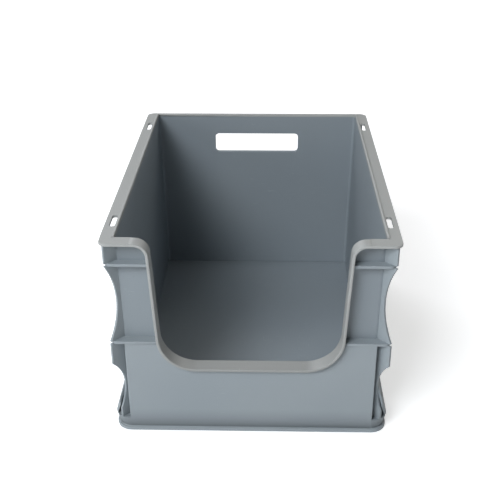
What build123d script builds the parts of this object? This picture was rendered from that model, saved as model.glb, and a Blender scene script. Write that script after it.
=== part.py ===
"""Stackable open-front storage bin in the 300 x 400 mm stacking format.

The bin is one polypropylene moulding.  It is modelled as the regions a mould maker would name:
a tapered tub, a flat rim with link slots, a rolled lip round the U-shaped pick opening, a front
apron, horizontal ribs, scalloped fins, flared skirts, a foot ring and a ribbed underside.
X is the width, the pick opening faces -Y, and Z = 0 is the surface the bin stands on.
"""
import os
from math import radians, sqrt, tan

from build123d import *

os.makedirs("parts", exist_ok=True)

# Overall sizes
rim_width = 300.0
rim_length = 400.0
bin_height = 235.0

# Tub
side_flange = 14.5
front_flange = 16.0
back_flange = 5.0
wall = 2.6
draft = 0.85
cavity_radius = 4.0
floor_top = 6.0
floor_thickness = 3.0

# Rim, locating bead and link slots
rim_thickness = 3.0
rim_radius = 9.0
bead_height = 1.5
bead_width = 2.6
bead_chamfer = 0.5
slot_length = 27.0
slot_width = 6.0
slot_from_edge = 5.0
slot_from_end = 54.0

# Pick opening in the front wall
mouth_half_top = 101.0
mouth_half_sill = 93.4
sill_height = 86.0
sill_radius = 38.0
shoulder_radius = 15.0
lip_thickness = 3.0

# Horizontal ribs
rib_thickness = 3.0
rib_inset = 4.2
upper_rib_top = 209.3
middle_rib_top = 117.4
lower_rib_top = 92.0
rib_radius = 7.0

# Scalloped fins
fin_thickness = 2.6
waist_stand = 0.5
lower_knee_swell = 3.1
upper_waist_height = 157.0
lower_waist_height = 61.0
side_fin_pitch = 92.0
side_fin_count = 4
corner_sag = 0.0
straight = 0.5

# Front apron, skirts and foot ring
apron_setback = 5.5
apron_end_inset = 18.0
skin = 2.6
skirt_inset = 0.5
ring_back_inset = 2.0
ring_top = 17.0
ring_radius = 18.0
foot_height = 4.0
foot_inset = 3.0
toe_inset = 0.5
foot_width_ends = 6.0
stacking_clearance = 0.8

# Hand hole in the back wall
hand_hole_width = 115.0
hand_hole_height = 26.5
hand_hole_top = 206.0
hand_hole_radius = 5.0
collar_wall = 3.0

# Underside grid
grid_thickness = 1.6
grid_depth = 2.4
grid_margin = 6.0
grid_cells_x = 7
grid_cells_y = 10

# Derived levels and outlines
rim_top = bin_height - bead_height
rim_bottom = rim_top - rim_thickness
floor_bottom = floor_top - floor_thickness
half_width = rim_width / 2
half_length = rim_length / 2
cavity_half_width = half_width - side_flange
cavity_front = half_length - front_flange
cavity_back = half_length - back_flange
cavity_half_length = (cavity_front + cavity_back) / 2
cavity_middle = (cavity_back - cavity_front) / 2
rib_half_width = half_width - rib_inset
rib_half_length = half_length - rib_inset
skirt_half_width = half_width - skirt_inset
apron_face = half_length - apron_setback
apron_half_width = half_width - apron_end_inset
lip_end = mouth_half_top + shoulder_radius + lip_thickness
far = rim_length + rim_width


def save(piece, name):
    """Label one finished region and write it as its own STEP file."""
    piece.part.label = name
    export_step(piece.part, f"parts/{name}.step")


def shrink(z_top, z_bottom):
    """Inward lean of a drafted wall between two levels."""
    return (z_top - z_bottom) * tan(radians(draft))


def tapered_block(half_x, half_y, radius, z_top, z_bottom):
    """Solid rounded block that narrows downwards by the moulding draft."""
    lean = shrink(z_top, z_bottom)
    with BuildPart() as block:
        with BuildSketch(Plane.XY.offset(z_top)):
            with Locations((0, cavity_middle)):
                RectangleRounded(2 * half_x, 2 * half_y, radius)
        with BuildSketch(Plane.XY.offset(z_bottom)):
            with Locations((0, cavity_middle)):
                RectangleRounded(2 * (half_x - lean), 2 * (half_y - lean), radius)
        loft()
    return block.part


def keep(whole, low, high):
    """The stretch of a region that lies inside an upright box."""
    size = [top - bottom for bottom, top in zip(low, high)]
    middle = [(top + bottom) / 2 for bottom, top in zip(low, high)]
    with BuildPart() as stretch:
        add(whole)
        with Locations(tuple(middle)):
            Box(*size, mode=Mode.INTERSECT)
    return stretch


def upright(x, y, outward):
    """Vertical sketch plane through (x, y): local x runs outward, local y runs up."""
    direction = Vector(*outward).normalized()
    return Plane(origin=(x, y, 0), x_dir=direction, z_dir=direction.cross(Vector(0, 0, 1)))


def mouth_prism(grow):
    """Everything inside the U-shaped opening line, moved outwards by grow, along the front."""
    above = bin_height + 2 * lip_thickness
    with BuildPart() as prism:
        with BuildSketch(Plane.XZ):
            with BuildLine():
                edge = FilletPolyline(
                    (-half_width, rim_top - grow),
                    (-mouth_half_top - grow, rim_top - grow),
                    (-mouth_half_sill - grow, sill_height - grow),
                    (mouth_half_sill + grow, sill_height - grow),
                    (mouth_half_top + grow, rim_top - grow),
                    (half_width, rim_top - grow),
                    radius=[shoulder_radius - grow, sill_radius + grow, sill_radius + grow, shoulder_radius - grow],
                )
                Polyline(edge @ 1, (half_width, above), (-half_width, above), edge @ 0)
            make_face()
        extrude(amount=far)
    return prism.part


# Solids that other regions are trimmed with
tub_outside = tapered_block(
    cavity_half_width + wall, cavity_half_length + wall, cavity_radius + wall, rim_bottom, floor_bottom
)
tub_inside = tapered_block(cavity_half_width, cavity_half_length, cavity_radius, rim_bottom, floor_top)
mouth = mouth_prism(0.0)
mouth_and_lip = mouth_prism(lip_thickness)

# Tub: floor, side walls, back wall, front wall and the two front columns
with BuildPart() as tub:
    add(tub_outside)
    add(tub_inside, mode=Mode.SUBTRACT)

corner_line = cavity_half_width - shrink(rim_bottom, floor_top) - cavity_radius - wall
floor_panel = keep(tub.part, (-far, -far, floor_bottom), (far, far, floor_top))
save(floor_panel, "floor_panel")

left_wall = keep(tub.part, (-far, -far, floor_top), (-corner_line, far, rim_bottom))
save(left_wall, "left_wall")

right_wall = keep(tub.part, (corner_line, -far, floor_top), (far, far, rim_bottom))
save(right_wall, "right_wall")

with BuildPart() as back_wall:
    add(keep(tub.part, (-corner_line, 0, floor_top), (corner_line, far, rim_bottom)).part)
    with BuildSketch(Plane.XZ):
        with Locations((0, hand_hole_top - hand_hole_height / 2)):
            RectangleRounded(hand_hole_width, hand_hole_height, hand_hole_radius)
    extrude(amount=-half_length, mode=Mode.SUBTRACT)
save(back_wall, "back_wall")

middle_rib_bottom = middle_rib_top - rib_thickness
front_levels = {
    "front_wall": (-corner_line, corner_line, floor_top, middle_rib_bottom),
    "left_front_column": (-corner_line, 0, middle_rib_bottom, rim_bottom),
    "right_front_column": (0, corner_line, middle_rib_bottom, rim_bottom),
}
for name, (x_low, x_high, z_low, z_high) in front_levels.items():
    with BuildPart() as front_panel:
        add(keep(tub.part, (x_low, -far, z_low), (x_high, 0, z_high)).part)
        add(mouth_and_lip, mode=Mode.SUBTRACT)
    save(front_panel, name)

# Lip: a flange that follows the whole opening line and rolls over into the rim
with BuildPart() as opening_lip:
    with BuildSketch(Plane.XZ.offset(cavity_front - 2 * wall)):
        with Locations((0, (sill_height - lip_thickness + rim_top) / 2)):
            Rectangle(2 * lip_end, rim_top - sill_height + lip_thickness)
    extrude(amount=front_flange + 2 * wall)
    add(mouth_and_lip, mode=Mode.INTERSECT)
    add(mouth, mode=Mode.SUBTRACT)
    add(tub_inside, mode=Mode.SUBTRACT)
    with BuildSketch(Plane.XY.offset(rim_bottom)):
        with Locations((0, cavity_middle)):
            Rectangle(2 * cavity_half_width, 2 * cavity_half_length)
    extrude(amount=2 * rim_thickness, mode=Mode.SUBTRACT)
save(opening_lip, "opening_lip")

# Rim: flat flange all round, open at the front where the lip takes over
bead_outside = cavity_half_width + bead_width
slot_centre_x = half_width - slot_from_edge - slot_width / 2
slot_centre_y = half_length - slot_from_end
with BuildPart() as rim:
    with BuildSketch(Plane.XY.offset(rim_bottom)):
        RectangleRounded(rim_width, rim_length, rim_radius)
        with Locations((0, cavity_middle)):
            Rectangle(2 * bead_outside, 2 * cavity_half_length, mode=Mode.SUBTRACT)
        with Locations((0, -half_length)):
            Rectangle(2 * lip_end, 2 * front_flange, mode=Mode.SUBTRACT)
        with GridLocations(2 * slot_centre_x, 2 * slot_centre_y, 2, 2):
            SlotOverall(slot_length, slot_width, rotation=90, mode=Mode.SUBTRACT)
    extrude(amount=rim_thickness)

rim_regions = {
    "rim_left": ((-far, -cavity_front), (0, cavity_back)),
    "rim_right": ((0, -cavity_front), (far, cavity_back)),
    "rim_back": ((-far, cavity_back), (far, far)),
    "rim_front_left": ((-far, -far), (0, -cavity_front)),
    "rim_front_right": ((0, -far), (far, -cavity_front)),
}
for name, (low, high) in rim_regions.items():
    rim_piece = keep(rim.part, (*low, rim_bottom), (*high, rim_top))
    save(rim_piece, name)

# Locating beads: upstands along the side rims that key inside the foot ring of the bin above
for side_name, x_sign in (("left", -1), ("right", 1)):
    with BuildPart() as bead:
        with BuildSketch(Plane.XY.offset(rim_bottom)):
            with Locations((x_sign * (cavity_half_width + bead_width / 2), cavity_middle)):
                Rectangle(bead_width, 2 * cavity_half_length)
        extrude(amount=bin_height - rim_bottom)
        top_edges = bead.edges().group_by(Axis.Z)[-1].filter_by(Axis.Y)
        chamfer(top_edges, bead_chamfer)
    save(bead, f"bead_{side_name}")


# Scalloped fins
fin_root = cavity_half_width - shrink(rim_bottom, floor_bottom) - cavity_radius
corner_root_y = rib_half_length - (rib_half_width - fin_root)
upper_waist_reach = cavity_half_width + wall - shrink(rim_bottom, upper_waist_height) + waist_stand
lower_waist_reach = cavity_half_width + wall - shrink(rim_bottom, lower_waist_height) + waist_stand
rib_levels = {"upper_rib": upper_rib_top, "middle_rib": middle_rib_top, "lower_rib": lower_rib_top}


def behind_corner(x_sign):
    """Zone behind the rear face of a front corner fin, used to mitre what runs up to it."""
    shift = fin_thickness / 2 / sqrt(2)
    near_x = fin_root - half_width + shift
    far_x = fin_root + half_width + shift
    with BuildPart() as zone:
        with BuildSketch(Plane.XY):
            with BuildLine():
                Polyline(
                    (x_sign * near_x, half_width - corner_root_y + shift),
                    (x_sign * far_x, -half_width - corner_root_y + shift),
                    (x_sign * far_x, cavity_back),
                    (x_sign * near_x, cavity_back),
                    close=True,
                )
            make_face()
        extrude(amount=bin_height)
    return zone.part


def fin(plane, stretch, rib_names, z_foot, foot_reach, foot_sag):
    """Upright fin whose free edge bows in twice; one that reaches the foot ring flares out again."""
    full = (rib_half_width - fin_root) * stretch
    upper_waist = (upper_waist_reach - fin_root) * stretch
    lower_waist = (lower_waist_reach - fin_root) * stretch
    foot = (foot_reach - fin_root) * stretch
    upper_rib_bottom = upper_rib_top - rib_thickness
    lower_rib_bottom = lower_rib_top - rib_thickness
    knee_reach = lower_waist + lower_knee_swell * stretch
    knee_height = (lower_rib_bottom + lower_waist_height) / 2 + rib_thickness / 2
    with BuildPart() as blade:
        with BuildSketch(plane):
            with BuildLine():
                Polyline((0, z_foot), (0, rim_bottom), (full, rim_bottom), (full, upper_rib_bottom))
                ThreePointArc((full, upper_rib_bottom), (upper_waist, upper_waist_height), (full, middle_rib_top))
                Line((full, middle_rib_top), (full, lower_rib_bottom))
                ThreePointArc(
                    (full, lower_rib_bottom), (knee_reach, knee_height), (lower_waist, lower_waist_height)
                )
                if z_foot < lower_waist_height:
                    pull = (lower_waist + (foot - lower_waist) * foot_sag, (lower_waist_height + z_foot) / 2)
                    Bezier((lower_waist, lower_waist_height), pull, (foot, z_foot))
                    Line((foot, z_foot), (0, z_foot))
                else:
                    Line((lower_waist, lower_waist_height), (0, z_foot))
            make_face()
        extrude(amount=fin_thickness / 2, both=True)
        add(tub_outside, mode=Mode.SUBTRACT)
        for rib_name in rib_names:
            with Locations((0, 0, rib_levels[rib_name] - rib_thickness / 2)):
                Box(far, far, rib_thickness, mode=Mode.SUBTRACT)
    return blade


# Foot ring: tucked in below its top edge, above a toe that stands on the floor
ring_half_length = (apron_face + half_length - ring_back_inset) / 2
ring_middle = (half_length - ring_back_inset - apron_face) / 2
ring_inside_x = bead_outside + stacking_clearance
ring_inside_y = ring_half_length - foot_inset - foot_width_ends
with BuildPart() as ring_outline:
    with BuildSketch(Plane.XY.offset(ring_top)):
        Rectangle(far, far)
        with Locations((0, ring_middle)):
            RectangleRounded(2 * skirt_half_width, 2 * ring_half_length, ring_radius, mode=Mode.SUBTRACT)
    extrude(amount=lower_waist_height - ring_top)

with BuildPart() as foot_ring:
    with BuildSketch(Plane.XY.offset(ring_top)):
        with Locations((0, ring_middle)):
            RectangleRounded(2 * skirt_half_width, 2 * ring_half_length, ring_radius)
    with BuildSketch(Plane.XY.offset(foot_height)):
        with Locations((0, ring_middle)):
            RectangleRounded(
                2 * (skirt_half_width - foot_inset), 2 * (ring_half_length - foot_inset), ring_radius - foot_inset
            )
    loft()
    with BuildSketch(Plane.XY):
        with Locations((0, ring_middle)):
            RectangleRounded(
                2 * (skirt_half_width - toe_inset), 2 * (ring_half_length - toe_inset), ring_radius - toe_inset
            )
    extrude(amount=foot_height)
    with BuildSketch(Plane.XY):
        with Locations((0, ring_middle)):
            Rectangle(2 * ring_inside_x, 2 * ring_inside_y)
    extrude(amount=ring_top, mode=Mode.SUBTRACT)
    add(tub_outside, mode=Mode.SUBTRACT)

ring_front_end = ring_middle - ring_inside_y
ring_back_end = ring_middle + ring_inside_y
ring_regions = {
    "foot_ring_front": ((-far, -far), (far, ring_front_end)),
    "foot_ring_left": ((-far, ring_front_end), (0, ring_back_end)),
    "foot_ring_right": ((0, ring_front_end), (far, ring_back_end)),
    "foot_ring_back": ((-far, ring_back_end), (far, far)),
}
for name, (low, high) in ring_regions.items():
    ring_piece = keep(foot_ring.part, (*low, 0), (*high, ring_top))
    save(ring_piece, name)

# Corner fins stand on the diagonal of the two front corners
corner_fins = []
for side_name, x_sign in (("left", -1), ("right", 1)):
    with BuildPart() as corner_fin:
        corner_plane = upright(x_sign * fin_root, -corner_root_y, (x_sign, -1, 0))
        rib_names = ("upper_rib", "middle_rib")
        add(fin(corner_plane, sqrt(2), rib_names, ring_top, rib_half_width, corner_sag).part)
        add(ring_outline.part, mode=Mode.SUBTRACT)
    save(corner_fin, f"corner_fin_{side_name}")
    corner_fins.append(corner_fin.part)

# Side fins at an even pitch from the rear corner; the rear one closes the end of the skirt
rear_fin_y = cavity_back - fin_thickness / 2
for side_name, x_sign in (("left", -1), ("right", 1)):
    for index in range(side_fin_count):
        fin_plane = upright(x_sign * fin_root, rear_fin_y - index * side_fin_pitch, (x_sign, 0, 0))
        z_foot = ring_top if index == 0 else lower_waist_height
        side_fin = fin(fin_plane, 1.0, tuple(rib_levels), z_foot, skirt_half_width, straight)
        save(side_fin, f"side_fin_{side_name}_{index + 1}")


# Horizontal ribs along the sides; the upper two wrap round the front corners to the lip
def rib_ring(z_top):
    """One flat rib round the sides and the front, trimmed to the drafted walls and to the lip."""
    with BuildPart() as ring:
        with BuildSketch(Plane.XY.offset(z_top - rib_thickness)):
            with Locations((0, (half_length - rib_half_length) / 2)):
                RectangleRounded(2 * rib_half_width, rib_half_length + half_length, rib_radius)
        extrude(amount=rib_thickness)
        add(tub_outside, mode=Mode.SUBTRACT)
        add(mouth_and_lip, mode=Mode.SUBTRACT)
    return ring.part


for level_name, z_top in rib_levels.items():
    ring_part = rib_ring(z_top)
    z_low = z_top - rib_thickness
    for side_name, x_sign in (("left", -1), ("right", 1)):
        x_low = min(0, x_sign * far)
        x_high = max(0, x_sign * far)
        if level_name == "lower_rib":
            with BuildPart() as side_rib:
                add(keep(ring_part, (x_low, -far, z_low), (x_high, cavity_back, z_top)).part)
                add(behind_corner(x_sign), mode=Mode.INTERSECT)
        else:
            side_rib = keep(ring_part, (x_low, -cavity_front, z_low), (x_high, cavity_back, z_top))
            front_rib = keep(ring_part, (x_low, -far, z_low), (x_high, -cavity_front, z_top))
            save(front_rib, f"{level_name}_front_{side_name}")
        save(side_rib, f"{level_name}_{side_name}")

# Front apron: a skin that stands proud of the front wall, closed at both ends
with BuildPart() as front_apron:
    with BuildSketch(Plane.XY.offset(ring_top)):
        with Locations((0, -(apron_face + cavity_front - wall) / 2)):
            Rectangle(2 * apron_half_width, apron_face - cavity_front + wall)
            Rectangle(2 * (apron_half_width - skin), far, mode=Mode.SUBTRACT)
        with Locations((0, skin / 2 - apron_face)):
            Rectangle(2 * apron_half_width, skin)
    extrude(amount=middle_rib_bottom - ring_top)
    add(mouth_and_lip, mode=Mode.SUBTRACT)
    add(tub_outside, mode=Mode.SUBTRACT)
    for x_sign, corner_part in zip((-1, 1), corner_fins):
        add(corner_part, mode=Mode.SUBTRACT)
        add(behind_corner(x_sign), mode=Mode.SUBTRACT)
save(front_apron, "front_apron")

# Flared skirts: sloping sheets from the waist of the side walls out to the foot ring
for side_name, x_sign in (("left", -1), ("right", 1)):
    with BuildPart() as skirt:
        with BuildSketch(Plane.XZ):
            with BuildLine():
                Polyline(
                    (x_sign * skirt_half_width, ring_top),
                    (x_sign * lower_waist_reach, lower_waist_height),
                    (x_sign * (lower_waist_reach - skin), lower_waist_height),
                    (x_sign * (skirt_half_width - skin), ring_top),
                    close=True,
                )
            make_face()
        extrude(amount=far, both=True)
        add(tub_outside, mode=Mode.SUBTRACT)
        add(behind_corner(x_sign), mode=Mode.INTERSECT)
        add(ring_outline.part, mode=Mode.SUBTRACT)
        with Locations((0, rear_fin_y - fin_thickness / 2 + half_length, 0)):
            Box(far, 2 * half_length, far, mode=Mode.SUBTRACT)
    save(skirt, f"skirt_{side_name}")

# Thickened edge round the hand hole, proud of the back wall
with BuildPart() as hand_hole_edge:
    with BuildSketch(Plane.XZ):
        with Locations((0, hand_hole_top - hand_hole_height / 2)):
            RectangleRounded(
                hand_hole_width + 2 * collar_wall, hand_hole_height + 2 * collar_wall, hand_hole_radius + collar_wall
            )
            RectangleRounded(hand_hole_width, hand_hole_height, hand_hole_radius, mode=Mode.SUBTRACT)
    extrude(amount=-half_length)
    add(tub_outside, mode=Mode.SUBTRACT)
    add(tub_inside, mode=Mode.SUBTRACT)
save(hand_hole_edge, "hand_hole_edge")

# Underside grid that stiffens the floor between the feet
floor_half_x = cavity_half_width - shrink(rim_bottom, floor_bottom)
floor_half_y = cavity_half_length - shrink(rim_bottom, floor_bottom)
grid_span_x = 2 * (floor_half_x - grid_margin)
grid_span_y = 2 * (floor_half_y - grid_margin)
with BuildPart() as underside_grid:
    with BuildSketch(Plane.XY.offset(floor_bottom - grid_depth)):
        with Locations((0, cavity_middle)):
            Rectangle(grid_span_x, grid_span_y)
            cell_x = (grid_span_x - grid_thickness) / grid_cells_x
            cell_y = (grid_span_y - grid_thickness) / grid_cells_y
            with GridLocations(cell_x, cell_y, grid_cells_x, grid_cells_y):
                Rectangle(cell_x - grid_thickness, cell_y - grid_thickness, mode=Mode.SUBTRACT)
    extrude(amount=grid_depth)
save(underside_grid, "underside_grid")
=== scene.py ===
"""Looks for the stackable open-front storage bin: surfaces, finishes, camera, light and floor.

Every region of the moulding is rebuilt from its frame node with rolled free edges, because a
moulded bin has no knife edges, and gets a satin polypropylene finish that suits its place.
"""

import logging
import math
from dataclasses import dataclass, field
from enum import Enum
from typing import ClassVar

import bmesh
import bpy
from mathutils import Matrix, Vector
from mathutils.bvhtree import BVHTree

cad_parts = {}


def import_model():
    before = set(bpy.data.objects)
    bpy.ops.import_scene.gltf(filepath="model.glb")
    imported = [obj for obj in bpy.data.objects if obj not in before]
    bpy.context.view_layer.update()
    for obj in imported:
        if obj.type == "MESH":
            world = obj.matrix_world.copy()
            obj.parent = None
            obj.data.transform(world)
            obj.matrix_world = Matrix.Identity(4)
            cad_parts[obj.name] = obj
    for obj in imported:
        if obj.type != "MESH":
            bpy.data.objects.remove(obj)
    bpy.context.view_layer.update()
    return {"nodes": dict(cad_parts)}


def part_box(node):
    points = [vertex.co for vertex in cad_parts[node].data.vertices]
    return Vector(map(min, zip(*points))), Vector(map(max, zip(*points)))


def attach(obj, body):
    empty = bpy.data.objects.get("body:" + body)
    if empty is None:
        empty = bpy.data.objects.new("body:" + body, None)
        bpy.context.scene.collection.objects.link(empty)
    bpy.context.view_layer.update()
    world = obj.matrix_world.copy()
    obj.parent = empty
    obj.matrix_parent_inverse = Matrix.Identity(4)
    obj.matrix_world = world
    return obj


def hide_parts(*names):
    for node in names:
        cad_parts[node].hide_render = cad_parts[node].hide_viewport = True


log = logging.getLogger("storage_bin")

MM = 0.001
RUB_AND_SHEEN_FACES = "rolled_edge"
SIDES = ("left", "right")

Colour = tuple[float, float, float]


class Zone(Enum):
    """Where on the bin a surface lies, which decides how the mould was finished there."""

    OUTSIDE = "outside"
    INSIDE = "inside"
    RIM = "rim"
    LIP = "lip"
    UNDERSIDE = "underside"


class ShaderTools:
    """Short forms for building node trees.

    Args:
        tree: The node tree that the nodes go into.
    """

    COLUMN_WIDTH = 180.0

    def __init__(self, tree: bpy.types.NodeTree) -> None:
        """Keeps the tree and a running column for tidy placement."""
        self.tree = tree
        self.column = 0

    def node(self, kind: str, **settings: object) -> bpy.types.Node:
        """Adds one node.

        Args:
            kind: The node type's name.
            settings: Properties to set on the node.

        Returns:
            The new node.
        """
        made = self.tree.nodes.new(kind)
        made.location = (self.column * self.COLUMN_WIDTH, 0.0)
        self.column += 1
        for name, value in settings.items():
            setattr(made, name, value)
        return made

    def join(self, source: bpy.types.NodeSocket, target: bpy.types.NodeSocket) -> None:
        """Links an output to an input."""
        self.tree.links.new(source, target)

    def feed(self, value: object, target: bpy.types.NodeSocket) -> None:
        """Gives an input its value.

        Args:
            value: A plain value, or an output socket to link.
            target: The input.
        """
        if isinstance(value, bpy.types.NodeSocket):
            self.join(value, target)
        else:
            target.default_value = value

    def math(
        self, operation: str, first: object, second: object, clamp: bool = False
    ) -> bpy.types.NodeSocket:
        """Adds a Math node.

        Args:
            operation: The math operation.
            first: A number or an output socket.
            second: A number or an output socket.
            clamp: Whether the result is held between 0 and 1.

        Returns:
            The result socket.
        """
        made = self.node("ShaderNodeMath", operation=operation, use_clamp=clamp)
        for socket, value in zip(made.inputs, (first, second)):
            self.feed(value, socket)
        return made.outputs[0]

    def noise(
        self, vector: bpy.types.NodeSocket, scale: object, detail: float, roughness: float = 0.5
    ) -> bpy.types.NodeSocket:
        """Adds a noise texture and returns its factor.

        Args:
            vector: Where the noise is read.
            scale: Noise cells per metre, as a number or a socket.
            detail: Octaves of finer noise.
            roughness: How strong the finer octaves are.

        Returns:
            The noise factor socket.
        """
        made = self.node("ShaderNodeTexNoise")
        self.join(vector, made.inputs["Vector"])
        self.feed(scale, made.inputs["Scale"])
        made.inputs["Detail"].default_value = detail
        made.inputs["Roughness"].default_value = roughness
        return made.outputs["Fac"]

    def window(
        self, value: bpy.types.NodeSocket, low: float, high: float
    ) -> bpy.types.NodeSocket:
        """Stretches a range of values to 0 to 1 and holds the rest.

        Args:
            value: The socket to stretch.
            low: The value that becomes 0.
            high: The value that becomes 1.

        Returns:
            The stretched value.
        """
        made = self.node("ShaderNodeMapRange", clamp=True)
        self.join(value, made.inputs["Value"])
        made.inputs["From Min"].default_value = low
        made.inputs["From Max"].default_value = high
        return made.outputs["Result"]

    def blend(
        self, mask: bpy.types.NodeSocket, first: object, second: object
    ) -> bpy.types.NodeSocket:
        """Mixes two colours by a mask.

        Args:
            mask: 0 gives the first colour and 1 the second.
            first: A colour or a colour socket.
            second: A colour or a colour socket.

        Returns:
            The mixed colour socket.
        """
        made = self.node("ShaderNodeMix", data_type="RGBA")
        self.join(mask, made.inputs["Factor"])
        colours = [socket for socket in made.inputs if socket.type == "RGBA"]
        for socket, value in zip(colours, (first, second)):
            self.feed((*value, 1.0) if isinstance(value, tuple) else value, socket)
        return next(socket for socket in made.outputs if socket.type == "RGBA")


class SharedEffects:
    """Node groups that every finish on the bin uses. Scales are in cells per metre."""

    CLOUD_RANGE = (0.32, 0.68)
    SPECK_RANGE = (0.64, 0.78)
    STREAK_LAYS = ((0.6, (1.0, 14.0, 14.0)), (2.1, (14.0, 1.0, 14.0)))
    STREAK_RANGE = (0.66, 0.74)
    SCUFF_PATCH_SCALE = 22.0
    SCUFF_PATCH_RANGE = (0.5, 0.66)
    RUB_PATCH_RANGE = (0.3, 0.7)
    SHADE_FALLOFF = 1.4

    def __init__(self) -> None:
        """Builds the groups once."""
        self.grain = self._grain()
        self.tone = self._tone()
        self.handling = self._handling()
        self.edges = self._edges()
        self.painted_shade = self._painted_shade()

    def _open(
        self, name: str, inputs: dict[str, float], outputs: tuple[str, ...]
    ) -> tuple[ShaderTools, bpy.types.Node, bpy.types.NodeSocket]:
        """Starts a group with named number sockets.

        Args:
            name: The group's name.
            inputs: Inputs and their defaults.
            outputs: Output names.

        Returns:
            Tools for the group, its input node, and the place on the object.
        """
        group = bpy.data.node_groups.new(name, "ShaderNodeTree")
        for label, value in inputs.items():
            socket = group.interface.new_socket(
                label, in_out="INPUT", socket_type="NodeSocketFloat"
            )
            socket.default_value = value
        for label in outputs:
            group.interface.new_socket(label, in_out="OUTPUT", socket_type="NodeSocketFloat")
        tools = ShaderTools(group)
        given = tools.node("NodeGroupInput")
        place = tools.node("ShaderNodeTexCoord").outputs["Object"]
        return tools, given, place

    def _close(
        self, tools: ShaderTools, results: dict[str, bpy.types.NodeSocket]
    ) -> bpy.types.NodeTree:
        """Joins a group's results to its outputs.

        Args:
            tools: The group's tools.
            results: Output names and what each puts out.

        Returns:
            The finished group.
        """
        out = tools.node("NodeGroupOutput")
        for label, socket in results.items():
            tools.join(socket, out.inputs[label])
        return tools.tree

    def _grain(self) -> bpy.types.NodeTree:
        """Spark-eroded mould grain with the faint ripple of a large thin wall."""
        defaults = {"Grain Scale": 1400.0, "Ripple Scale": 14.0, "Ripple Share": 0.4}
        tools, given, place = self._open("moulded_grain", defaults, ("Height",))
        fine = tools.noise(place, given.outputs["Grain Scale"], 2.0)
        ripple = tools.noise(place, given.outputs["Ripple Scale"], 1.0)
        raised = tools.math("MULTIPLY", ripple, given.outputs["Ripple Share"])
        return self._close(tools, {"Height": tools.math("ADD", fine, raised)})

    def _tone(self) -> bpy.types.NodeTree:
        """Slow drift of the pigment through the melt, with fine specks in it."""
        defaults = {"Cloud Scale": 9.0, "Speck Scale": 900.0}
        tools, given, place = self._open("pigment_drift", defaults, ("Cloud", "Specks"))
        drift = tools.noise(place, given.outputs["Cloud Scale"], 3.0)
        dots = tools.noise(place, given.outputs["Speck Scale"], 1.0)
        cloud = tools.window(drift, *self.CLOUD_RANGE)
        specks = tools.window(dots, *self.SPECK_RANGE)
        return self._close(tools, {"Cloud": cloud, "Specks": specks})

    def _handling(self) -> bpy.types.NodeTree:
        """Short fine scuffs in patches, from shelves, hands and goods."""
        defaults = {"Scuff Scale": 60.0, "Amount": 0.3}
        tools, given, place = self._open("handling_scuffs", defaults, ("Scuffs",))
        masks = []
        for turn, stretch in self.STREAK_LAYS:
            laid = tools.node("ShaderNodeMapping")
            laid.inputs["Rotation"].default_value = (turn, turn * 0.5, turn)
            laid.inputs["Scale"].default_value = stretch
            tools.join(place, laid.inputs["Vector"])
            streak = tools.noise(laid.outputs["Vector"], given.outputs["Scuff Scale"], 2.0, 0.6)
            masks.append(tools.window(streak, *self.STREAK_RANGE))
        spread = tools.noise(place, self.SCUFF_PATCH_SCALE, 2.0)
        patches = tools.window(spread, *self.SCUFF_PATCH_RANGE)
        placed = tools.math("MULTIPLY", tools.math("MAXIMUM", *masks), patches)
        scuffs = tools.math("MULTIPLY", placed, given.outputs["Amount"], clamp=True)
        return self._close(tools, {"Scuffs": scuffs})

    def _edges(self) -> bpy.types.NodeTree:
        """Pale wear and a painted highlight on the rolled edges, broken up so that no edge is
        even.
        """
        defaults = {"Patch Scale": 35.0, "Amount": 0.3}
        tools, given, place = self._open("rolled_edge_rub_and_sheen", defaults, ("Rub And Sheen",))
        # The rolled faces get pale wear and a painted highlight, in patches.
        rolled = tools.node("ShaderNodeAttribute", attribute_name=RUB_AND_SHEEN_FACES).outputs["Fac"]
        spread = tools.noise(place, given.outputs["Patch Scale"], 3.0)
        rubbed = tools.math("MULTIPLY", rolled, tools.window(spread, *self.RUB_PATCH_RANGE))
        rub_and_sheen = tools.math("MULTIPLY", rubbed, given.outputs["Amount"], clamp=True)
        return self._close(tools, {"Rub And Sheen": rub_and_sheen})

    def _painted_shade(self) -> bpy.types.NodeTree:
        """Painted shade that is deepest just above a ledge and fades out upwards. Heights in
        metres.
        """
        defaults = {"Ledge Height": 0.004, "Unshaded Height": 0.030, "Amount": 0.4}
        tools, given, place = self._open("ledge_painted_shade", defaults, ("Painted Shade",))
        parts = tools.node("ShaderNodeSeparateXYZ")
        tools.join(place, parts.inputs["Vector"])
        height = parts.outputs["Z"]
        ledge, clean = given.outputs["Ledge Height"], given.outputs["Unshaded Height"]
        span = tools.math("SUBTRACT", clean, ledge)
        left = tools.math("SUBTRACT", clean, height)
        depth = tools.math("DIVIDE", left, span, clamp=True)
        fading = tools.math("POWER", depth, self.SHADE_FALLOFF)
        shade_layer = tools.math("MULTIPLY", fading, tools.math("GREATER_THAN", height, ledge))
        painted_shade = tools.math("MULTIPLY", shade_layer, given.outputs["Amount"], clamp=True)
        return self._close(tools, {"Painted Shade": painted_shade})


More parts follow.
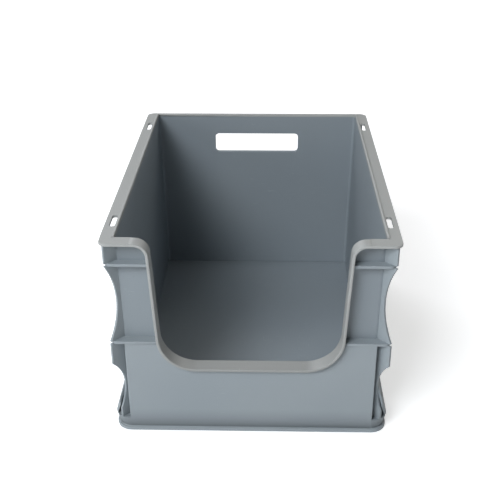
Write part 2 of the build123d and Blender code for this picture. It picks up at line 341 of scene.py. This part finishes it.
@dataclass(frozen=True)
class MouldedFinish:
    """Satin polypropylene as it leaves one part of the mould.

    Attributes:
        name: The material's name.
        colour: Linear base colour.
        drift: Linear colour where the pigment lies thinner.
        roughness: Roughness of the clean surface.
        grain_scale: Grain cells per metre.
        grain_depth: Depth of the grain in metres.
        scuffs: How strongly handling shows, and how strongly rolled edges get pale wear and a
            painted highlight.
        painted_shade: Heights in metres where the painted shade starts and ends, and how
            strongly it shows.
    """

    name: str
    colour: Colour
    drift: Colour
    roughness: float
    grain_scale: float
    grain_depth: float
    scuffs: float
    painted_shade: tuple[float, float, float] = (0.0, 0.001, 0.0)

    # Gain and lift of the paler colour used by scuffs and by the painted highlight on rolled
    # edges.
    RUB_AND_SHEEN_GAIN: ClassVar[float] = 1.5
    RUB_AND_SHEEN_LIFT: ClassVar[float] = 0.04
    SPECK_SHADE: ClassVar[float] = 0.82
    SPECK_STRENGTH: ClassVar[float] = 0.35
    # Share of the colour left under the fullest painted shade.
    PAINTED_SHADE_SHARE: ClassVar[float] = 0.35
    CLOUD_ROUGHNESS: ClassVar[float] = 0.06
    MARK_ROUGHNESS: ClassVar[float] = 0.25
    GRAIN_STRENGTH: ClassVar[float] = 0.6
    REFRACTION: ClassVar[float] = 1.49
    SPECULAR: ClassVar[float] = 0.42

    def _shaded(self, share: float) -> Colour:
        """The base colour, darkened to a share of itself."""
        return tuple(channel * share for channel in self.colour)

    def _tint(
        self,
        tools: ShaderTools,
        effects: SharedEffects,
        tone: bpy.types.Node,
        marks_and_sheen: bpy.types.NodeSocket,
    ) -> bpy.types.NodeSocket:
        """Lays drift, specks, scuffs, pale wear and a painted highlight on rolled edges, and
        painted shade over the base colour.

        Args:
            tools: The material's tools.
            effects: The shared node groups.
            tone: The pigment drift node.
            marks_and_sheen: How rubbed or scuffed the surface is, counting the painted highlight
                on rolled edges.

        Returns:
            The colour.
        """
        rubbed = tuple(
            min(1.0, channel * self.RUB_AND_SHEEN_GAIN + self.RUB_AND_SHEEN_LIFT) for channel in self.colour
        )
        drifted = tools.blend(tone.outputs["Cloud"], self.colour, self.drift)
        specks = tools.math("MULTIPLY", tone.outputs["Specks"], self.SPECK_STRENGTH)
        speckled = tools.blend(specks, drifted, self._shaded(self.SPECK_SHADE))
        # Scuffs and the rolled edges' pale wear with painted highlight blend to the paler
        # colour.
        wear_and_sheen = tools.blend(marks_and_sheen, speckled, rubbed)
        # Painted shade: darker just above the ledge height, fading out upwards.
        shade_layer = tools.node("ShaderNodeGroup", node_tree=effects.painted_shade)
        for label, value in zip(("Ledge Height", "Unshaded Height", "Amount"), self.painted_shade):
            shade_layer.inputs[label].default_value = value
        return tools.blend(shade_layer.outputs["Painted Shade"], wear_and_sheen, self._shaded(self.PAINTED_SHADE_SHARE))

    def _relief(self, tools: ShaderTools, effects: SharedEffects) -> bpy.types.NodeSocket:
        """The normal of the grained surface.

        Args:
            tools: The material's tools.
            effects: The shared node groups.

        Returns:
            The normal.
        """
        grain = tools.node("ShaderNodeGroup", node_tree=effects.grain)
        grain.inputs["Grain Scale"].default_value = self.grain_scale
        bump = tools.node("ShaderNodeBump")
        bump.inputs["Strength"].default_value = self.GRAIN_STRENGTH
        bump.inputs["Distance"].default_value = self.grain_depth
        tools.join(grain.outputs["Height"], bump.inputs["Height"])
        return bump.outputs["Normal"]

    def build(self, effects: SharedEffects) -> bpy.types.Material:
        """Builds the material.

        Args:
            effects: The shared node groups.

        Returns:
            The finished material.
        """
        material = bpy.data.materials.new(self.name)
        material.use_nodes = True
        material.diffuse_color = (*self.colour, 1.0)
        material.node_tree.nodes.clear()
        tools = ShaderTools(material.node_tree)
        tone = tools.node("ShaderNodeGroup", node_tree=effects.tone)
        scuffed = tools.node("ShaderNodeGroup", node_tree=effects.handling)
        edged = tools.node("ShaderNodeGroup", node_tree=effects.edges)
        for paling in (scuffed, edged):
            paling.inputs["Amount"].default_value = self.scuffs
        # Scuffs and the painted highlight on rolled edges, taken together.
        marks_and_sheen = tools.math("MAXIMUM", scuffed.outputs["Scuffs"], edged.outputs["Rub And Sheen"])
        clouded = tools.math("MULTIPLY", tone.outputs["Cloud"], self.CLOUD_ROUGHNESS)
        smooth = tools.math("ADD", clouded, self.roughness)
        marked = tools.math("MULTIPLY", marks_and_sheen, self.MARK_ROUGHNESS)
        shader = tools.node("ShaderNodeBsdfPrincipled")
        tools.join(self._tint(tools, effects, tone, marks_and_sheen), shader.inputs["Base Color"])
        tools.join(tools.math("ADD", smooth, marked, clamp=True), shader.inputs["Roughness"])
        tools.join(self._relief(tools, effects), shader.inputs["Normal"])
        shader.inputs["IOR"].default_value = self.REFRACTION
        shader.inputs["Specular IOR Level"].default_value = self.SPECULAR
        result = tools.node("ShaderNodeOutputMaterial")
        tools.join(shader.outputs["BSDF"], result.inputs["Surface"])
        return material


class Wardrobe:
    """The bin's finishes, built once and handed out by zone."""

    FINISHES = {
        Zone.OUTSIDE: MouldedFinish(
            name="outer_satin_grey",
            colour=(0.298, 0.336, 0.362),
            drift=(0.313, 0.349, 0.372),
            roughness=0.40,
            grain_scale=1500.0,
            grain_depth=0.06 * MM,
            scuffs=0.25,
            # Painted shade: the outer walls darken just above the foot ring's ledge.
            painted_shade=(4.4 * MM, 31.0 * MM, 0.8),
        ),
        Zone.INSIDE: MouldedFinish(
            name="inner_smooth_grey",
            colour=(0.255, 0.290, 0.318),
            drift=(0.268, 0.303, 0.328),
            roughness=0.36,
            grain_scale=1900.0,
            grain_depth=0.04 * MM,
            scuffs=0.35,
        ),
        Zone.RIM: MouldedFinish(
            name="rim_handled_grey",
            colour=(0.398, 0.405, 0.396),
            drift=(0.412, 0.419, 0.410),
            roughness=0.46,
            grain_scale=1300.0,
            grain_depth=0.07 * MM,
            scuffs=0.55,
        ),
        Zone.LIP: MouldedFinish(
            name="lip_polished_grey",
            colour=(0.398, 0.405, 0.396),
            drift=(0.412, 0.419, 0.410),
            roughness=0.40,
            grain_scale=1600.0,
            grain_depth=0.05 * MM,
            scuffs=0.5,
            # Painted shade: the lip darkens the lower it runs, down to the sill.
            painted_shade=(0.0, 232.0 * MM, 0.55),
        ),
        Zone.UNDERSIDE: MouldedFinish(
            name="underside_scuffed_grey",
            colour=(0.270, 0.297, 0.318),
            drift=(0.288, 0.313, 0.333),
            roughness=0.52,
            grain_scale=1300.0,
            grain_depth=0.08 * MM,
            scuffs=0.9,
        ),
    }

    def __init__(self) -> None:
        """Builds the shared effects and every finish."""
        effects = SharedEffects()
        self.materials = {
            zone: finish.build(effects) for zone, finish in self.FINISHES.items()
        }

    def dress(self, piece: bpy.types.Object, zone: Zone) -> None:
        """Gives a piece the finish of its zone."""
        piece.data.materials.clear()
        piece.data.materials.append(self.materials[zone])


class ContactFinder:
    """Knows where the regions of the moulding meet, so that joined edges stay sharp.

    Args:
        nodes: Every frame node by name.
        touch: How near another region's surface counts as joined, in metres.
    """

    def __init__(
        self, nodes: dict[str, bpy.types.Object], touch: float = 0.06 * MM
    ) -> None:
        """Builds one search tree for each node."""
        self.touch = touch
        self.trees = {name: self._tree(node) for name, node in nodes.items()}
        self.boxes = {name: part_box(name) for name in nodes}

    @staticmethod
    def _tree(node: bpy.types.Object) -> BVHTree:
        """The search tree of one node's surface."""
        corners = [vertex.co.copy() for vertex in node.data.vertices]
        faces = [tuple(face.vertices) for face in node.data.polygons]
        return BVHTree.FromPolygons(corners, faces)

    def neighbours(self, name: str) -> list[BVHTree]:
        """Search trees of the regions whose boxes meet the named one's."""
        return [
            self.trees[other]
            for other in self.boxes
            if other != name and self._boxes_meet(self.boxes[name], self.boxes[other])
        ]

    def _boxes_meet(
        self, first: tuple[Vector, Vector], second: tuple[Vector, Vector]
    ) -> bool:
        """Whether two boxes touch or overlap along all three axes."""
        (first_low, first_high), (second_low, second_high) = first, second
        return all(
            first_low[axis] - self.touch <= second_high[axis]
            and second_low[axis] - self.touch <= first_high[axis]
            for axis in range(3)
        )

    def joined(self, point: Vector, trees: list[BVHTree]) -> bool:
        """Whether a point lies on another region's surface."""
        return any(tree.find_nearest(point, self.touch)[0] is not None for tree in trees)


@dataclass
class RegionMaker:
    """Rebuilds frame nodes as closed moulded regions with rolled free edges.

    Attributes:
        nodes: Every frame node by name.
        contacts: Where the regions meet.
        wardrobe: The finishes.
        weld: Vertices nearer than this are one, in metres.
        flat: Faces within this angle are one flat area, in radians.
        crease: Edges sharper than this are edges of the form, in radians.
        sample_step: Spacing of the contact tests along an edge, in metres.
        fewest_samples: Contact tests on a short edge.
        joined_share: An edge with more of its length joined than this stays sharp.
    """

    nodes: dict[str, bpy.types.Object]
    contacts: ContactFinder
    wardrobe: Wardrobe
    weld: float = 0.004 * MM
    flat: float = math.radians(0.3)
    crease: float = math.radians(35.0)
    sample_step: float = 6.0 * MM
    fewest_samples: int = 3
    joined_share: float = 0.34

    def raw(self, name: str) -> bmesh.types.BMesh:
        """The node's own shape, welded, with its flat areas made whole.

        Args:
            name: The frame node.

        Returns:
            The shape, for the caller to free.
        """
        shape = bmesh.new()
        shape.from_mesh(self.nodes[name].data)
        bmesh.ops.remove_doubles(shape, verts=shape.verts, dist=self.weld)
        bmesh.ops.dissolve_limit(
            shape, angle_limit=self.flat, verts=shape.verts, edges=shape.edges
        )
        shape.normal_update()
        return shape

    def free_edges(
        self, shape: bmesh.types.BMesh, name: str
    ) -> list[bmesh.types.BMEdge]:
        """Outward edges of the form that no other region covers.

        Args:
            shape: The region.
            name: The frame node it comes from.

        Returns:
            The edges to roll.
        """
        trees = self.contacts.neighbours(name)
        found = []
        for edge in shape.edges:
            if not edge.is_manifold or not edge.is_convex:
                continue
            if edge.calc_face_angle(0.0) < self.crease:
                continue
            start, end = edge.verts[0].co, edge.verts[1].co
            count = max(self.fewest_samples, int((end - start).length / self.sample_step))
            tests = [start.lerp(end, (step + 0.5) / count) for step in range(count)]
            covered = sum(self.contacts.joined(point, trees) for point in tests)
            if covered <= self.joined_share * count:
                found.append(edge)
        return found

    def roll_edges(
        self, shape: bmesh.types.BMesh, edges: list[bmesh.types.BMEdge], roll: float, steps: int
    ) -> None:
        """Rolls edges and flags the new faces as the ones that get pale wear and a painted
        highlight.

        Args:
            shape: The region.
            edges: The edges to roll.
            roll: Their radius in metres.
            steps: Segments in each rolled edge.
        """
        rolled = bmesh.ops.bevel(
            shape,
            geom=edges,
            offset=roll,
            offset_type="OFFSET",
            segments=steps,
            profile=0.5,
            affect="EDGES",
            clamp_overlap=True,
            loop_slide=True,
        )
        many_sided = [face for face in shape.faces if len(face.verts) > 4]
        bmesh.ops.triangulate(shape, faces=many_sided)
        # Rolled faces are flagged for pale wear and a painted highlight.
        wear_and_sheen = shape.faces.layers.float.new(RUB_AND_SHEEN_FACES)
        for face in rolled["faces"]:
            if face.is_valid:
                face[wear_and_sheen] = 1.0

    def make(self, name: str, zone: Zone, roll: float, steps: int) -> bpy.types.Object:
        """Builds the visual region of one node.

        Args:
            name: The frame node.
            zone: Which finish it takes.
            roll: Radius of its free edges in metres.
            steps: Segments in each rolled edge.

        Returns:
            The region, riding on the bin and standing for its node.
        """
        shape = self.raw(name)
        edges = self.free_edges(shape, name)
        edge_count = len(edges)
        self.roll_edges(shape, edges, roll, steps)
        mesh = bpy.data.meshes.new(f"{name}_moulded")
        shape.to_mesh(mesh)
        shape.free()
        mesh.shade_smooth()
        mesh.set_sharp_from_angle(angle=self.crease)
        piece = bpy.data.objects.new(f"{name}_moulded", mesh)
        bpy.context.scene.collection.objects.link(piece)
        weighting = piece.modifiers.new("even_flats", "WEIGHTED_NORMAL")
        weighting.keep_sharp = True
        weighting.weight = 100
        self.wardrobe.dress(piece, zone)
        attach(piece, "root")
        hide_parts(name)
        log.info("%s: %d edges rolled, %d faces", piece.name, edge_count, len(mesh.polygons))
        return piece


@dataclass
class SubAssembly:
    """A group of regions that a mould maker would cut together.

    Attributes:
        roll: Radius of the group's free edges in metres.
        steps: Segments in each rolled edge.
    """

    roll: float = 0.6 * MM
    steps: int = 2

    def regions(self) -> dict[str, Zone]:
        """The frame nodes of the group and their finishes."""
        raise NotImplementedError

    def build(self, maker: RegionMaker) -> list[bpy.types.Object]:
        """Builds every region of the group.

        Args:
            maker: What rebuilds and dresses a region.

        Returns:
            The visual pieces.
        """
        return [
            maker.make(name, zone, self.roll, self.steps)
            for name, zone in self.regions().items()
        ]


@dataclass
class Tub(SubAssembly):
    """Floor, walls and front columns that hold the goods."""

    def regions(self) -> dict[str, Zone]:
        """The drafted walls and the floor, smooth from the mould core."""
        names = ("floor_panel", "left_wall", "right_wall", "back_wall", "front_wall")
        columns = tuple(f"{side}_front_column" for side in SIDES)
        return {name: Zone.INSIDE for name in names + columns}


@dataclass
class Rim(SubAssembly):
    """Flat flange with its link slots, and the locating beads along its inner edge."""

    roll: float = 0.8 * MM
    steps: int = 3

    def regions(self) -> dict[str, Zone]:
        """The flange pieces and beads, rubbed by hands and by the bin above."""
        names = ["rim_back"]
        for side in SIDES:
            names += [f"rim_{side}", f"rim_front_{side}", f"bead_{side}"]
        return {name: Zone.RIM for name in names}


@dataclass
class OpeningLip(SubAssembly):
    """Flange that follows the pick opening and rolls over into the rim."""

    roll: float = 0.9 * MM
    steps: int = 3

    def regions(self) -> dict[str, Zone]:
        """The lip, polished by goods and hands, with painted shade that deepens from the rim
        down to the sill.
        """
        return {"opening_lip": Zone.LIP}


@dataclass
class RibCage(SubAssembly):
    """Horizontal ribs round the sides and the front corners."""

    levels: tuple[str, ...] = ("upper_rib", "middle_rib")

    def regions(self) -> dict[str, Zone]:
        """Three rib levels; the lowest runs along the sides only."""
        names = [f"lower_rib_{side}" for side in SIDES]
        for level in self.levels:
            for side in SIDES:
                names += [f"{level}_{side}", f"{level}_front_{side}"]
        return {name: Zone.OUTSIDE for name in names}


@dataclass
class FinRows(SubAssembly):
    """Scalloped fins along the sides and on the front corners."""

    roll: float = 0.5 * MM
    side_count: int = 4

    def regions(self) -> dict[str, Zone]:
        """The corner fins and the rows along both sides."""
        names = []
        for side in SIDES:
            names.append(f"corner_fin_{side}")
            names += [f"side_fin_{side}_{index + 1}" for index in range(self.side_count)]
        return {name: Zone.OUTSIDE for name in names}


@dataclass
class LowerBody(SubAssembly):
    """Front apron, flared skirts and the foot ring that the bin stands on."""

    roll: float = 0.7 * MM

    def regions(self) -> dict[str, Zone]:
        """Outer skins, with the foot ring scuffed from shelves and floors."""
        found = {"front_apron": Zone.OUTSIDE}
        for side in SIDES:
            found[f"skirt_{side}"] = Zone.OUTSIDE
        for place in ("front", "left", "right", "back"):
            found[f"foot_ring_{place}"] = Zone.OUTSIDE
        return found


@dataclass
class HandHole(SubAssembly):
    """Thickened edge round the grip in the back wall."""

    roll: float = 0.8 * MM
    steps: int = 3

    def regions(self) -> dict[str, Zone]:
        """The collar, which fingers close on."""
        return {"hand_hole_edge": Zone.INSIDE}


@dataclass
class Underside(SubAssembly):
    """Stiffening grid below the floor."""

    roll: float = 0.3 * MM
    steps: int = 1

    def regions(self) -> dict[str, Zone]:
        """The grid, which slides over shelves and rollers."""
        return {"underside_grid": Zone.UNDERSIDE}


@dataclass
class StorageBin:
    """The whole bin, sub-assembly by sub-assembly."""

    groups: tuple[SubAssembly, ...] = field(
        default_factory=lambda: (
            Tub(),
            Rim(),
            OpeningLip(),
            RibCage(),
            FinRows(),
            LowerBody(),
            HandHole(),
            Underside(),
        )
    )

    def build(self, maker: RegionMaker) -> int:
        """Builds every group and counts the pieces."""
        total = 0
        for group in self.groups:
            pieces = group.build(maker)
            log.info("%s: %d pieces", type(group).__name__, len(pieces))
            total += len(pieces)
        return total


@dataclass(frozen=True)
class Softbox:
    """A square studio light aimed at the middle of the bin.

    Attributes:
        name: The light's name.
        bearing: Degrees round from straight in front, to the right.
        elevation: Degrees above the bin's middle.
        power: Strength in watts.
        colour: Linear colour.
        side: Length of its side in metres.
        distance: How far it stands from the bin's middle, in metres.
        aim_height: Height of the bin's middle in metres.
    """

    name: str
    bearing: float
    elevation: float
    power: float
    colour: Colour
    side: float = 1.8
    distance: float = 4.4
    aim_height: float = 0.12

    def _outward(self) -> Vector:
        """The direction from the bin's middle to the light."""
        bearing, elevation = math.radians(self.bearing), math.radians(self.elevation)
        level = math.cos(elevation)
        return Vector(
            (math.sin(bearing) * level, -math.cos(bearing) * level, math.sin(elevation))
        )

    def hang(self) -> None:
        """Adds the light to the scene."""
        lamp = bpy.data.lights.new(self.name, "AREA")
        lamp.shape = "SQUARE"
        lamp.size = self.side
        lamp.energy = self.power
        lamp.color = self.colour
        outward = self._outward()
        holder = bpy.data.objects.new(self.name, lamp)
        holder.location = outward * self.distance + Vector((0.0, 0.0, self.aim_height))
        holder.rotation_euler = (-outward).to_track_quat("-Z", "Y").to_euler()
        bpy.context.scene.collection.objects.link(holder)


@dataclass
class Studio:
    """Camera, lights, floor and surroundings.

    Attributes:
        lens: Focal length in millimetres.
        sensor: Width of the camera's sensor in millimetres.
        near_limit: How near the camera sees, in metres.
        camera_place: Camera position in metres.
        pitch: Degrees that the camera looks down.
        yaw: Degrees that it looks to the right of straight ahead.
        roll: Degrees that it is turned about its own axis.
        floor_half: Half the floor's side in metres.
        floor_glow: How much paler than lit the floor looks to the camera.
        floor_tones: The floor's two colours.
        floor_roughness: Roughness of the floor.
        horizon: Brightness of the pale backdrop round the floor.
        zenith: Brightness of the dim room overhead.
        horizon_height: Height of the backdrop, as a share of the way up.
        lights: The softboxes.
    """

    lens: float = 61.92
    sensor: float = 36.0
    near_limit: float = 0.01
    camera_place: tuple[float, float, float] = (0.01915, -0.94366, 0.61578)
    pitch: float = 27.50
    yaw: float = -1.473
    roll: float = -0.252
    floor_half: float = 8.0
    floor_glow: float = 0.50
    floor_tones: tuple[Colour, Colour] = ((0.88, 0.885, 0.89), (0.90, 0.90, 0.90))
    floor_roughness: float = 0.9
    horizon: float = 0.9
    zenith: float = 0.05
    horizon_height: float = 0.22
    lights: tuple[Softbox, ...] = (
        Softbox("key_front_left", -30.0, 40.0, 126.0, (0.96, 1.0, 1.04)),
        Softbox("low_left_fill", -60.0, 12.0, 40.0, (0.97, 1.0, 1.0)),
        Softbox("back_left_edge", -150.0, 40.0, 56.0, (0.98, 1.0, 1.05)),
        Softbox("back_right_edge", 150.0, 40.0, 34.0, (1.0, 0.98, 0.92)),
        Softbox("overhead", 0.0, 90.0, 12.0, (1.0, 0.98, 0.94)),
    )

    def _camera_turn(self) -> Matrix:
        """The camera's rotation from its pitch, yaw and roll."""
        pitch, yaw, roll = (math.radians(angle) for angle in (self.pitch, self.yaw, self.roll))
        forward = Vector(
            (math.sin(yaw) * math.cos(pitch), math.cos(yaw) * math.cos(pitch), -math.sin(pitch))
        )
        level = Vector((math.cos(yaw), -math.sin(yaw), 0.0))
        above = level.cross(forward)
        right = math.cos(roll) * level + math.sin(roll) * above
        upward = -math.sin(roll) * level + math.cos(roll) * above
        return Matrix((right, upward, -forward)).transposed().to_4x4()

    def camera(self) -> None:
        """Sets up the camera."""
        lens = bpy.data.cameras.new("studio_camera")
        lens.lens = self.lens
        lens.sensor_width = self.sensor
        lens.clip_start = self.near_limit
        holder = bpy.data.objects.new("studio_camera", lens)
        holder.matrix_world = Matrix.Translation(Vector(self.camera_place)) @ self._camera_turn()
        bpy.context.scene.collection.objects.link(holder)
        bpy.context.scene.camera = holder

    def floor(self) -> None:
        """Lays the plain pale floor."""
        shape = bmesh.new()
        bmesh.ops.create_grid(shape, x_segments=1, y_segments=1, size=self.floor_half)
        mesh = bpy.data.meshes.new("studio_floor")
        shape.to_mesh(mesh)
        shape.free()
        ground = bpy.data.objects.new("studio_floor", mesh)
        bpy.context.scene.collection.objects.link(ground)
        material = bpy.data.materials.new("studio_white")
        material.use_nodes = True
        tools = ShaderTools(material.node_tree)
        shader = material.node_tree.nodes["Principled BSDF"]
        place = tools.node("ShaderNodeTexCoord").outputs["Object"]
        cloud = tools.noise(place, 1.5, 2.0)
        tools.join(tools.blend(cloud, *self.floor_tones), shader.inputs["Base Color"])
        shader.inputs["Roughness"].default_value = self.floor_roughness
        shader.inputs["Emission Color"].default_value = (1.0, 1.0, 1.0, 1.0)
        seen = tools.node("ShaderNodeLightPath").outputs["Is Camera Ray"]
        glow = tools.math("MULTIPLY", seen, self.floor_glow)
        tools.join(glow, shader.inputs["Emission Strength"])
        mesh.materials.append(material)

    def surround(self) -> None:
        """Sets a pale backdrop round the floor under a dim room."""
        world = bpy.data.worlds.new("studio_room")
        world.use_nodes = True
        tools = ShaderTools(world.node_tree)
        backdrop = world.node_tree.nodes["Background"]
        parts = tools.node("ShaderNodeSeparateXYZ")
        direction = tools.node("ShaderNodeTexCoord").outputs["Generated"]
        tools.join(direction, parts.inputs["Vector"])
        overhead = tools.window(parts.outputs["Z"], 0.0, self.horizon_height)
        shades = ((self.horizon,) * 3, (self.zenith,) * 3)
        tools.join(tools.blend(overhead, *shades), backdrop.inputs["Color"])
        bpy.context.scene.world = world

    def build(self) -> None:
        """Builds the studio."""
        self.camera()
        self.floor()
        self.surround()
        for light in self.lights:
            light.hang()
        bpy.context.scene.view_settings.view_transform = "Standard"


def main() -> None:
    """Loads the frame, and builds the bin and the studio."""
    logging.basicConfig(level=logging.INFO, format="%(name)s: %(message)s")
    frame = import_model()
    wardrobe = Wardrobe()
    maker = RegionMaker(frame["nodes"], ContactFinder(frame["nodes"]), wardrobe)
    count = StorageBin().build(maker)
    Studio().build()
    log.info("%d pieces built", count)


if __name__ == "__main__":
    main()
